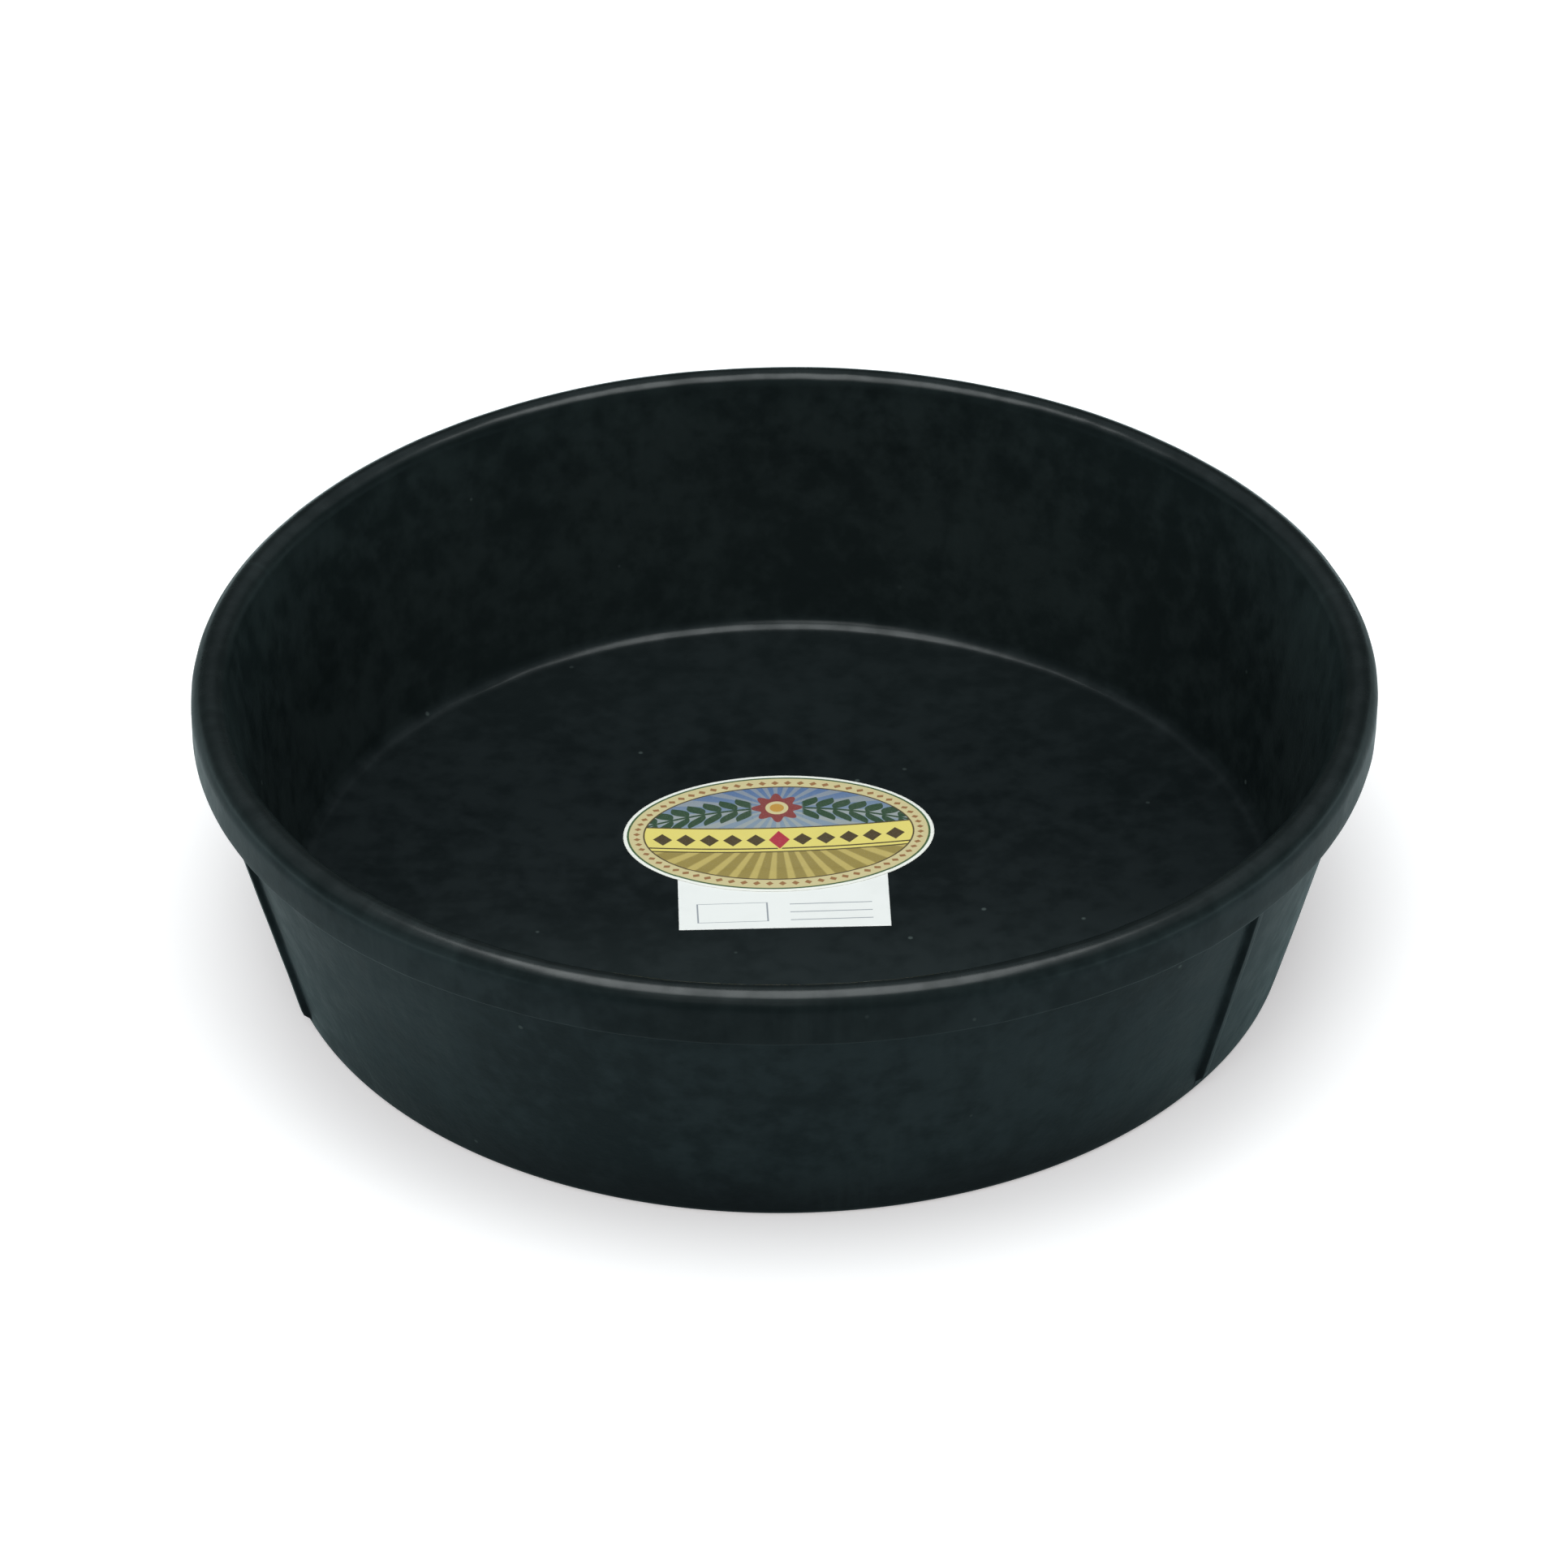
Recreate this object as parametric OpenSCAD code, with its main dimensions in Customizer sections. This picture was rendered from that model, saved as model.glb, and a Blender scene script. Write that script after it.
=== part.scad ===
// Rubber feed tub: a round, shallow, one-piece rubber moulding with two paper stickers on its floor.
// The origin is on the ground at the tub's axis, +Z is up, and the stickers read from -Y.

/* [Tub] */
// Outside diameter of the rim band
rim_d = 424; // [390:1:480]
// Height from the ground to the top of the rim
tub_h = 110; // [80:1:150]
// Diameter of the wall's outer face at the ground, before its edge is rounded
base_d = 364; // [320:1:390]
// Height of the floor's upper face above the ground
floor_z = 10; // [6:0.5:18]
// Thickness of the wall where it meets the floor
wall_foot_t = 5; // [3.5:0.5:9]
// Radius of the fillet between the floor and the wall
floor_fillet_r = 6; // [3:0.5:12]
// Radius of the outer edge of the base
base_edge_r = 4; // [2:0.5:9]

/* [Rim] */
// Width of the rim from its mouth to the band's outer face
rim_w = 12; // [9:0.5:16]
// Height of the rim band's outer face, measured from the top of the rim
band_h = 17.5; // [12:0.5:28]
// How far the band stands out of the wall
band_proud = 5.5; // [2:0.5:8]
// Height of the taper under the band, where it runs back into the wall
band_taper_h = 3; // [2:0.5:12]
// Radius of the band's rounded lower edge
band_edge_r = 1; // [0.5:0.5:6]
// Radius of the rim's rounded outer shoulder
rim_outer_r = 7; // [3:0.5:9]
// Radius of the rim's rounded inner edge
rim_inner_r = 6; // [2:0.5:7]

/* [Ribs] */
// Number of upright ribs on the outside of the wall
rib_count = 3; // [2:1:8]
// Turn of the first rib from +X
rib_turn = -37.5; // [-180:0.5:180]
// Width of a rib at its crest
rib_w = 3.5; // [2:0.5:8]
// How far a rib stands out of the wall
rib_proud = 2.5; // [1.5:0.5:6]
// Draft of a rib's sides
rib_draft = 6; // [0:1:12]
// Height of a rib's foot above the ground
rib_foot_z = 7; // [1:0.5:12]

/* [Base] */
// Width of the ring that the tub stands on
foot_ring_w = 24; // [12:1:50]
// Depth of the recess inside that ring
recess_depth = 2; // [1:0.5:4]

/* [Stickers] */
// Width of the large sticker
sign_w = 115; // [80:1:150]
// Height of the large sticker
sign_h = 76; // [50:1:110]
// Thickness of the large sticker's paper
sign_t = 0.25; // [0.2:0.05:0.5]
// Width of the white tag
tag_w = 77; // [40:1:84]
// Height of the white tag that shows below the large sticker
tag_drop = 23; // [15:1:40]
// How far the white tag reaches under the large sticker
tag_tuck = 14; // [12:1:24]
// Thickness of the white tag's paper
tag_t = 0.15; // [0.1:0.05:0.15]
// Place of the large sticker's centre to the right of the tub's axis
sign_x = -2.5; // [-40:0.5:40]
// Place of the large sticker's centre behind the tub's axis
sign_y = 38; // [0:0.5:70]
// Turn of both stickers, as they were stuck on by hand
sign_tilt = 2.3; // [-20:0.1:20]

/* [Hidden] */
$fn = 96;

// Chords in each rounded corner of an outline
corner_steps = 8;
// Corners round the large sticker's oval
oval_steps = 90;
// How deep a rib's root reaches into the wall that carries it
rib_root = 2;
// Radius of the small edges: the recess and the ribs' crests
soft_edge_r = 1;

rim_r = rim_d / 2;
base_r = base_d / 2;
mouth_r = rim_r - rim_w;
band_z = tub_h - band_h;
taper_z = band_z - band_taper_h;
wall_top_r = rim_r - band_proud;
// Slant of the wall's outer face away from upright
wall_slant = atan2(wall_top_r - base_r, band_z);
floor_r = wall_r(floor_z) - wall_foot_t;
// Slant of the inner face, and the width of the rim that its rounded inner edge takes
inner_slant = atan2(mouth_r - floor_r, tub_h - floor_z);
edge_run = rim_inner_r / tan(45 + inner_slant / 2);
shoulder_r = min(rim_outer_r, rim_w - edge_run - 0.1);
// The band's lower edge, kept within the taper that it runs into
band_edge = min(band_edge_r, band_taper_h * 0.6);
ring_in_r = base_r - foot_ring_w;

// Radius of the wall's outer face at a height
function wall_r(z) = base_r + (wall_top_r - base_r) * z / band_z;

function unit(v) = v / norm(v);

// Arc that rounds the corner b, given as [x, y, radius], between its neighbours a and c
function corner(a, b, c) =
    let (
        here = [b.x, b.y],
        to_a = unit([a.x, a.y] - here),
        to_c = unit([c.x, c.y] - here),
        half = acos(to_a * to_c) / 2,
        centre = here + unit(to_a + to_c) * b.z / sin(half),
        start = here + to_a * b.z / tan(half) - centre,
        end = here + to_c * b.z / tan(half) - centre,
        from = atan2(start.y, start.x),
        sweep = atan2(start.x * end.y - start.y * end.x, start * end)
    )
    [for (k = [0 : corner_steps])
        centre + b.z * [cos(from + sweep * k / corner_steps), sin(from + sweep * k / corner_steps)]];

// Outline through points [x, y, radius]: a radius of 0 keeps the corner sharp
function rounded(points) =
    let (n = len(points))
    [for (i = [0 : n - 1])
        each points[i].z == 0
            ? [[points[i].x, points[i].y]]
            : corner(points[(i + n - 1) % n], points[i], points[(i + 1) % n])];

// Half of the tub's cross-section, from the axis out to the rim
module shell_section() {
    polygon(rounded([
        [0, recess_depth, 0],
        [ring_in_r - recess_depth, recess_depth, soft_edge_r],
        [ring_in_r, 0, soft_edge_r / 2],
        [base_r, 0, base_edge_r],
        [wall_r(taper_z), taper_z, band_taper_h / 2],
        [rim_r, band_z, band_edge],
        [rim_r, tub_h, shoulder_r],
        [mouth_r, tub_h, rim_inner_r],
        [floor_r, floor_z, floor_fillet_r],
        [0, floor_z, 0],
    ]));
}

// Cross-section of a rib, +X pointing out of the wall: sides with draft and a rounded crest
module rib_section() {
    crest = rib_w / 2;
    root = crest + (rib_proud + rib_root) * tan(rib_draft);
    crest_r = min(soft_edge_r, crest * 0.8);
    polygon(rounded([
        [-rib_root, -root, 0],
        [rib_proud, -crest, crest_r],
        [rib_proud, crest, crest_r],
        [-rib_root, root, 0],
    ]));
}

// One upright rib, laid along the wall's slant and cut level at its foot and under the band
module rib() {
    intersection() {
        translate([base_r, 0, 0])
            rotate([0, wall_slant, 0])
                translate([0, 0, -rib_proud])
                    linear_extrude(height = tub_h + 2 * rib_proud) rib_section();
        translate([0, -rim_r / 2, rib_foot_z])
            cube([rim_r, rim_r, band_z - rib_foot_z]);
    }
}

// The moulding: a revolved shell with the ribs on its wall
module rubber_tub() {
    color("#1d2424") {
        rotate_extrude() shell_section();
        for (i = [0 : rib_count - 1])
            rotate([0, 0, rib_turn + i * 360 / rib_count]) rib();
    }
}

// Puts a sticker on the floor, in its own frame: the large sticker's centre, turned as it was stuck on
module on_floor() {
    translate([sign_x, sign_y, floor_z]) rotate([0, 0, sign_tilt]) children();
}

// Outline of the large sticker
module sign_outline() {
    polygon([for (k = [0 : oval_steps - 1])
        [sign_w / 2 * cos(k * 360 / oval_steps), sign_h / 2 * sin(k * 360 / oval_steps)]]);
}

// Outline of the white tag
module tag_outline() {
    translate([-tag_w / 2, -sign_h / 2 - tag_drop]) square([tag_w, tag_drop + tag_tuck]);
}

// The large printed sticker: flat on the floor, and a paper's thickness higher where it lies over the tag
module picture_label() {
    color("#d9c64a") on_floor() {
        linear_extrude(height = sign_t) difference() {
            sign_outline();
            tag_outline();
        }
        translate([0, 0, tag_t]) linear_extrude(height = sign_t) intersection() {
            sign_outline();
            tag_outline();
        }
    }
}

// The plain white tag, its upper edge under the large sticker
module size_tag() {
    color("#f2f2ef") on_floor() linear_extrude(height = tag_t) tag_outline();
}

rubber_tub();
picture_label();
size_tag();
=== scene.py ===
import math

import bpy
import numpy as np
from mathutils import Matrix, Vector


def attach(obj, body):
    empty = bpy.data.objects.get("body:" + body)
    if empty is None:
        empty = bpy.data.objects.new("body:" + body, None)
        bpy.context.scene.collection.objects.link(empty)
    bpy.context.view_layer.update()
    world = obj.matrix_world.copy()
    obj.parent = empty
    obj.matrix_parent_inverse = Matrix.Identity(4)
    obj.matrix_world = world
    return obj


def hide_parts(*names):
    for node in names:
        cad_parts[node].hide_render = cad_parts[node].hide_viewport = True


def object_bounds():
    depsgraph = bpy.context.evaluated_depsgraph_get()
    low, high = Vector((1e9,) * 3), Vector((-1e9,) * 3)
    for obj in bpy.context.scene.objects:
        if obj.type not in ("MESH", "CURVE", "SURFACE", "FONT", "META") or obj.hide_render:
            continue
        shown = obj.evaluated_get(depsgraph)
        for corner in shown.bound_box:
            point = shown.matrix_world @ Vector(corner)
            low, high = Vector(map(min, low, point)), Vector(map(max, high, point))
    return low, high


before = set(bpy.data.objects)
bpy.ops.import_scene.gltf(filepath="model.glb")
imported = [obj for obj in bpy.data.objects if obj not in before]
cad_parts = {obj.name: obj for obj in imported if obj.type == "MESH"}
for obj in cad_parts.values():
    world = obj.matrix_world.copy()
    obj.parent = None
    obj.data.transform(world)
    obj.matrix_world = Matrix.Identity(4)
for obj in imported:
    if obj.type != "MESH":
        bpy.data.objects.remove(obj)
cadLow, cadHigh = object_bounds()
# Lengths are in metres, angles in degrees, and the stickers' print in millimetres
mm = 0.001
scene = bpy.context.scene
scene.view_settings.view_transform = "Standard"
print("frame loaded:", sorted(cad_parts))


# Mesh helpers: grids of points become closed, smooth surfaces

def gridQuads(rowCount, colCount):
    # Quads between neighbouring rows of a grid whose columns close into rings
    row = np.arange(rowCount - 1)[:, None] * colCount
    col = np.arange(colCount)[None, :]
    nextCol = (col + 1) % colCount
    corners = [row + col, row + nextCol, row + colCount + nextCol, row + colCount + col]
    return np.stack(corners, -1).reshape(-1, 4)


def closedRings(name, rings, startPole, endPole, material):
    # Rings of points stacked into a skin, with a fan of triangles to a pole at each end
    rowCount, colCount = rings.shape[:2]
    points = np.concatenate([rings.reshape(-1, 3), [startPole, endPole]])
    quads = gridQuads(rowCount, colCount)
    here = np.arange(colCount)
    after = (here + 1) % colCount
    first = rowCount * colCount
    lastRow = first - colCount
    startFan = np.stack([np.full(colCount, first), after, here], -1)
    endFan = np.stack([lastRow + here, lastRow + after, np.full(colCount, first + 1)], -1)
    mesh = bpy.data.meshes.new(name)
    mesh.from_pydata(points.tolist(), [], quads.tolist() + startFan.tolist() + endFan.tolist())
    mesh.polygons.foreach_set("use_smooth", np.ones(len(mesh.polygons), bool))
    mesh.materials.append(material)
    mesh.update()
    piece = bpy.data.objects.new(name, mesh)
    scene.collection.objects.link(piece)
    return piece


def cornerArc(before, here, after, radius, arcStep):
    # The arc of one radius that touches both straight runs meeting at a corner, cut into steps
    back = (before - here) / np.linalg.norm(before - here)
    onward = (after - here) / np.linalg.norm(after - here)
    half = math.acos(np.clip(back @ onward, -1, 1)) / 2
    bisector = (back + onward) / np.linalg.norm(back + onward)
    centre = here + bisector * radius / math.sin(half)
    start = here + back * radius / math.tan(half) - centre
    end = here + onward * radius / math.tan(half) - centre
    sweep = math.atan2(start[0] * end[1] - start[1] * end[0], start @ end)
    steps = max(3, int(round(abs(sweep) * radius / arcStep)))
    turn = math.atan2(start[1], start[0]) + sweep * np.linspace(0, 1, steps + 1)
    return centre + radius * np.stack([np.cos(turn), np.sin(turn)], -1)


def roundedPath(corners, arcStep):
    # A path through corners (x, z, radius, step): each corner but the ends becomes a tangent arc,
    # and the straight run that leads to it is cut into such steps
    corner = np.array(corners, float)
    spot, radius, lineStep = corner[:, :2], corner[:, 2], corner[1:, 3]
    arcs = [cornerArc(*spot[i - 1:i + 2], radius[i], arcStep) for i in range(1, len(spot) - 1)]
    runs = [spot[:1], *arcs, spot[-1:]]
    path = [runs[0]]
    for before, after, spacing in zip(runs[:-1], runs[1:], lineStep):
        gap = after[0] - before[-1]
        steps = max(1, int(round(np.linalg.norm(gap) / spacing)))
        share = np.linspace(0, 1, steps + 1)[1:-1, None]
        path += [before[-1] + gap * share, after]
    return np.concatenate(path)


def smoothStep(x, low, high):
    # 0 below low, 1 above high, with an S-shaped run between them
    t = np.clip((x - low) / (high - low), 0, 1)
    return t * t * (3 - 2 * t)


def wrapped(angle):
    # The same angle, within half a turn of zero
    return (angle + np.pi) % (2 * np.pi) - np.pi


def turnedBy(degrees):
    # The matrix that turns rows of flat points anticlockwise
    angle = math.radians(degrees)
    return np.array([[math.cos(angle), math.sin(angle)], [-math.sin(angle), math.cos(angle)]])


def ripples(points, length, depth, seed, count=14):
    # Sum of sine waves of one length in seeded random directions, about as deep as said either way
    rng = np.random.default_rng(seed)
    direction = rng.normal(size=(count, 3))
    direction /= np.linalg.norm(direction, axis=1)[:, None]
    phase = rng.uniform(0, 2 * np.pi, count)
    waves = np.sin(points @ direction.T * (2 * np.pi / length) + phase)
    return depth * (waves.sum(-1) / math.sqrt(2 * count))


# Shader helpers: a socket or a plain value goes into the next input of a node

def wire(tree, value, socket):
    # A link where the value is a socket, and otherwise the value itself
    if isinstance(value, bpy.types.NodeSocket):
        tree.links.new(value, socket)
    elif value is not None:
        socket.default_value = value


def calc(tree, operation, a, b=None, c=None):
    # One operation on one to three numbers
    node = tree.nodes.new("ShaderNodeMath")
    node.operation = operation
    for value, socket in zip((a, b, c), node.inputs):
        wire(tree, value, socket)
    return node.outputs[0]


def times(tree, a, b):
    # The product of two numbers
    return calc(tree, "MULTIPLY", a, b)


def hypotenuse(tree, a, b):
    # The square root of the sum of two squares
    return calc(tree, "SQRT", calc(tree, "ADD", times(tree, a, a), times(tree, b, b)))


def offMiddle(tree, cells):
    # How far a running count of cells is from the middle of its own cell, 0 to 0.5
    return calc(tree, "ABSOLUTE", calc(tree, "SUBTRACT", calc(tree, "FRACT", cells), 0.5))


def vectorCalc(tree, operation, *values):
    # One operation on vectors
    node = tree.nodes.new("ShaderNodeVectorMath")
    node.operation = operation
    for value, socket in zip(values, node.inputs):
        wire(tree, value, socket)
    return node.outputs["Value" if operation == "LENGTH" else "Vector"]


def ramp(tree, value, low, high):
    # 0 at low, 1 at high, with an S-shaped run between them
    node = tree.nodes.new("ShaderNodeMapRange")
    node.interpolation_type = "SMOOTHSTEP"
    wire(tree, value, node.inputs["Value"])
    node.inputs["From Min"].default_value = low
    node.inputs["From Max"].default_value = high
    return node.outputs["Result"]


def within(tree, value, limit, soft=0.3):
    # 1 where value is under its limit, fading out over a soft edge
    return ramp(tree, value, limit, limit - soft)


def between(tree, value, low, high, soft):
    # 1 where value lies from low to high, with soft edges
    rise = ramp(tree, value, low - soft, low + soft)
    fall = ramp(tree, value, high + soft, high - soft)
    return times(tree, rise, fall)


def blendColour(tree, factor, under, over):
    # One colour laid over another, as much as the factor says
    node = tree.nodes.new("ShaderNodeMix")
    node.data_type = "RGBA"
    wire(tree, factor, node.inputs["Factor"])
    coloured = [socket for socket in node.inputs if socket.type == "RGBA"]
    for value, socket in zip((under, over), coloured):
        wire(tree, value, socket)
    return [socket for socket in node.outputs if socket.type == "RGBA"][0]


def layOver(tree, mask, share, under, over):
    # One colour laid over another, as much as a mask times a share of it
    return blendColour(tree, times(tree, mask, share), under, over)


def noise(tree, coords, scale, detail, rough):
    # Cloudy noise of so many cells in a metre
    node = tree.nodes.new("ShaderNodeTexNoise")
    wire(tree, coords, node.inputs["Vector"])
    node.inputs["Scale"].default_value = scale
    node.inputs["Detail"].default_value = detail
    node.inputs["Roughness"].default_value = rough
    return node.outputs["Fac"]


def bump(tree, height, distance, normal=None):
    # The normal, tilted as if the surface stood up by height times distance
    node = tree.nodes.new("ShaderNodeBump")
    wire(tree, height, node.inputs["Height"])
    node.inputs["Distance"].default_value = distance
    wire(tree, normal, node.inputs["Normal"])
    return node.outputs["Normal"]


def srgb(red, green, blue):
    # Linear colour of a display colour given in 0 to 255
    value = np.array([red, green, blue]) / 255
    linear = np.where(value <= 0.04045, value / 12.92, ((value + 0.055) / 1.055) ** 2.4)
    return (*linear.tolist(), 1.0)


def newMaterial(name):
    # An empty material with its nodes, its shader and the piece's own coordinates in metres
    material = bpy.data.materials.new(name)
    material.use_nodes = True
    tree = material.node_tree
    shader = tree.nodes["Principled BSDF"]
    coords = tree.nodes.new("ShaderNodeTexCoord").outputs["Object"]
    return material, tree, shader, coords


# Camera: the photograph's viewpoint, worked out from the ellipses of the rim, the base and the floor

camera = {
    "target": (0.0, 0.0, 0.0538),
    "distance": 2.6424,
    "elevation": 33.95,
    "roll": -0.44,
    "focalPixels": 9000.0,
    "framePixels": 1932.0,
    "offsetPixels": (1.5, 10.5),
    "sensorWidth": 36.0,
}


def makeCamera():
    # Back from the target along the line of sight, turned about that line by the roll
    data = bpy.data.cameras.new("camera")
    lens = bpy.data.objects.new("camera", data)
    scene.collection.objects.link(lens)
    data.sensor_width = camera["sensorWidth"]
    data.lens = data.sensor_width * camera["focalPixels"] / camera["framePixels"]
    data.shift_x = -camera["offsetPixels"][0] / camera["framePixels"]
    data.shift_y = camera["offsetPixels"][1] / camera["framePixels"]
    rise, roll = math.radians(camera["elevation"]), math.radians(camera["roll"])
    back = Vector((0, -math.cos(rise), math.sin(rise)))
    level = (-back).to_track_quat("-Z", "Y").to_matrix()
    turned = level @ Matrix.Rotation(roll, 3, "Z")
    place = Vector(camera["target"]) + back * camera["distance"]
    lens.matrix_world = Matrix.Translation(place) @ turned.to_4x4()
    scene.camera = lens


makeCamera()
print("camera set")


# Black rubber: mottled dark compound, grey bloom, dust specks, scuffed ribs, painted shade on the rim's
# crest, the band's front and the foot, painted light on the floor and the far wall, fine moulded grain

rubber = {
    # Tones of the compound, and what lies on it
    "floorDeep": (0.0052, 0.0072, 0.0077, 1),
    "floorPale": (0.0090, 0.0118, 0.0126, 1),
    "wallDeep": (0.0080, 0.0115, 0.0118, 1),
    "wallPale": (0.0150, 0.0205, 0.0208, 1),
    "outerDeep": (0.0076, 0.0116, 0.0126, 1),
    "outerPale": (0.0144, 0.0208, 0.0225, 1),
    # The bloom's colour, laid on as real bloom and scuffs, and as painted light on the floor and the far wall
    "bloomAndLight": (0.026, 0.036, 0.036, 1),
    "dust": (0.085, 0.105, 0.100, 1),
    # Painted shade at the foot, darker towards the ground
    "soilAndShade": (0.0060, 0.0058, 0.0066, 1),
    # Painted shade on the rim's crest and the band's front
    "crestShade": (0.0036, 0.0054, 0.0055, 1),
    # Patterns: cells in a metre, detail, roughness
    "cloud": (11.0, 4.0, 0.55),
    "blotch": (1 / (11 * mm), 3.0, 0.55),
    "grain": (1 / (1.1 * mm), 2.0, 0.6),
    "leather": (1 / (4.5 * mm), 3.0, 0.55),
    "streak": (170.0, 4.0, 0.6),
    "streakRing": 0.2,
    "streakSqueeze": 0.16,
    # How much each pattern counts in the tone, and the tone that is deep or pale
    "cloudShare": 0.45,
    "blotchShare": 0.40,
    "leatherShare": 0.15,
    "toneRange": (0.40, 0.60),
    # How strong the marks are, and the patterns that they follow
    "footShadeShare": 0.65,
    "crestShadeShare": 0.8,
    "hazeCloud": (0.48, 0.75),
    "hazeStreak": (0.42, 0.72),
    "hazeShare": 0.30,
    "scuffBlotch": (0.42, 0.62),
    "scuffShare": 0.30,
    "paintedLightShare": 0.18,
    # Specks: their cells' size, their edge in shares of a cell, which cells have one
    "speckSize": 9 * mm,
    "speckEdge": (0.13, 0.05),
    "speckChosen": (0.94, 1.0),
    "speckShare": 0.6,
    # Gloss and relief
    "roughBlotch": (0.3, 0.7),
    "roughLeast": 0.38,
    "roughMore": 0.10,
    "specular": 0.03,
    "specularTint": (0.76, 0.97, 1.0, 1),
    "coatBlotch": (0.3, 0.65),
    "coatLeast": 0.65,
    "coatMore": 0.35,
    "coatMost": 0.68,
    "coatRoughness": 0.24,
    "leatherDepth": 0.13 * mm,
    "grainDepth": 0.025 * mm,
}


def surfaceMask(tree, name):
    # A mask that the mesh carries at its points
    node = tree.nodes.new("ShaderNodeAttribute")
    node.attribute_name = name
    return node.outputs["Fac"]


def alongWall(tree, coords):
    # The point's direction from the axis, put on a ring, plus its height squeezed: marks that run up the wall
    ring = vectorCalc(tree, "NORMALIZE", vectorCalc(tree, "MULTIPLY", coords, (1, 1, 0)))
    height = vectorCalc(tree, "MULTIPLY", coords, (0, 0, rubber["streakSqueeze"]))
    return vectorCalc(tree, "MULTIPLY_ADD", ring, [rubber["streakRing"]] * 3, height)


def dustSpecks(tree, coords):
    # A dot at the heart of some of the cells, picked by the cell's random colour
    cells = tree.nodes.new("ShaderNodeTexVoronoi")
    cells.inputs["Scale"].default_value = 1 / rubber["speckSize"]
    tree.links.new(coords, cells.inputs["Vector"])
    dot = ramp(tree, cells.outputs["Distance"], *rubber["speckEdge"])
    chosen = tree.nodes.new("ShaderNodeSeparateColor")
    tree.links.new(cells.outputs["Color"], chosen.inputs[0])
    return times(tree, dot, ramp(tree, chosen.outputs[0], *rubber["speckChosen"]))


def rubberMaterial():
    # A mottled tone for each place, marks laid over it by their masks, and a coat where it is polished
    material, tree, shader, coords = newMaterial("blackRubber")
    places = ("floored", "outside", "foot", "crest", "wear", "polish", "paintedLight")
    floored, outside, foot, crest, wear, polish, paintedLight = [surfaceMask(tree, name) for name in places]
    patterns = ("cloud", "blotch", "grain", "leather")
    cloud, blotch, grain, leather = [noise(tree, coords, *rubber[name]) for name in patterns]
    streak = noise(tree, alongWall(tree, coords), *rubber["streak"])
    # Compound: two tones each on the floor, the inner wall and the outside, the floor's the darkest, in
    # clouds and blotches
    clouds = times(tree, cloud, rubber["cloudShare"])
    tone = calc(tree, "ADD", clouds, times(tree, blotch, rubber["blotchShare"]))
    tone = calc(tree, "MULTIPLY_ADD", leather, rubber["leatherShare"], tone)
    tone = ramp(tree, tone, *rubber["toneRange"])
    onWall = blendColour(tree, tone, rubber["wallDeep"], rubber["wallPale"])
    onFloor = blendColour(tree, tone, rubber["floorDeep"], rubber["floorPale"])
    onOutside = blendColour(tree, tone, rubber["outerDeep"], rubber["outerPale"])
    colour = blendColour(tree, floored, onWall, onFloor)
    colour = blendColour(tree, outside, colour, onOutside)
    # Marks: painted shade at the foot and on the rim's crest and the band's front, hazy streaks on the walls,
    # scuffed ribs, painted light on the floor and the far wall, specks
    # Painted shade at the foot
    colour = layOver(tree, foot, rubber["footShadeShare"], colour, rubber["soilAndShade"])
    # Painted shade on the rim's crest and the band's front
    colour = layOver(tree, crest, rubber["crestShadeShare"], colour, rubber["crestShade"])
    haze = times(tree, ramp(tree, cloud, *rubber["hazeCloud"]), ramp(tree, streak, *rubber["hazeStreak"]))
    haze = times(tree, haze, calc(tree, "SUBTRACT", 1.0, floored))
    colour = layOver(tree, haze, rubber["hazeShare"], colour, rubber["bloomAndLight"])
    scuff = times(tree, wear, ramp(tree, blotch, *rubber["scuffBlotch"]))
    colour = layOver(tree, scuff, rubber["scuffShare"], colour, rubber["bloomAndLight"])
    # Painted light on the floor and the far wall
    colour = layOver(tree, paintedLight, rubber["paintedLightShare"], colour, rubber["bloomAndLight"])
    colour = layOver(tree, dustSpecks(tree, coords), rubber["speckShare"], colour, rubber["dust"])
    tree.links.new(colour, shader.inputs["Base Color"])
    # Gloss: patchy, with a coat on the places that the mould and use have polished
    rough = ramp(tree, blotch, *rubber["roughBlotch"])
    rough = calc(tree, "MULTIPLY_ADD", rough, rubber["roughMore"], rubber["roughLeast"])
    tree.links.new(rough, shader.inputs["Roughness"])
    shader.inputs["Specular IOR Level"].default_value = rubber["specular"]
    shader.inputs["Specular Tint"].default_value = rubber["specularTint"]
    even = ramp(tree, blotch, *rubber["coatBlotch"])
    even = calc(tree, "MULTIPLY_ADD", even, rubber["coatMore"], rubber["coatLeast"])
    tree.links.new(times(tree, polish, times(tree, even, rubber["coatMost"])), shader.inputs["Coat Weight"])
    shader.inputs["Coat Roughness"].default_value = rubber["coatRoughness"]
    relief = bump(tree, leather, rubber["leatherDepth"])
    tree.links.new(bump(tree, grain, rubber["grainDepth"], relief), shader.inputs["Normal"])
    return material


# Tub: one profile carried round the axis, with ribs raised on its outer wall

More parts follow.
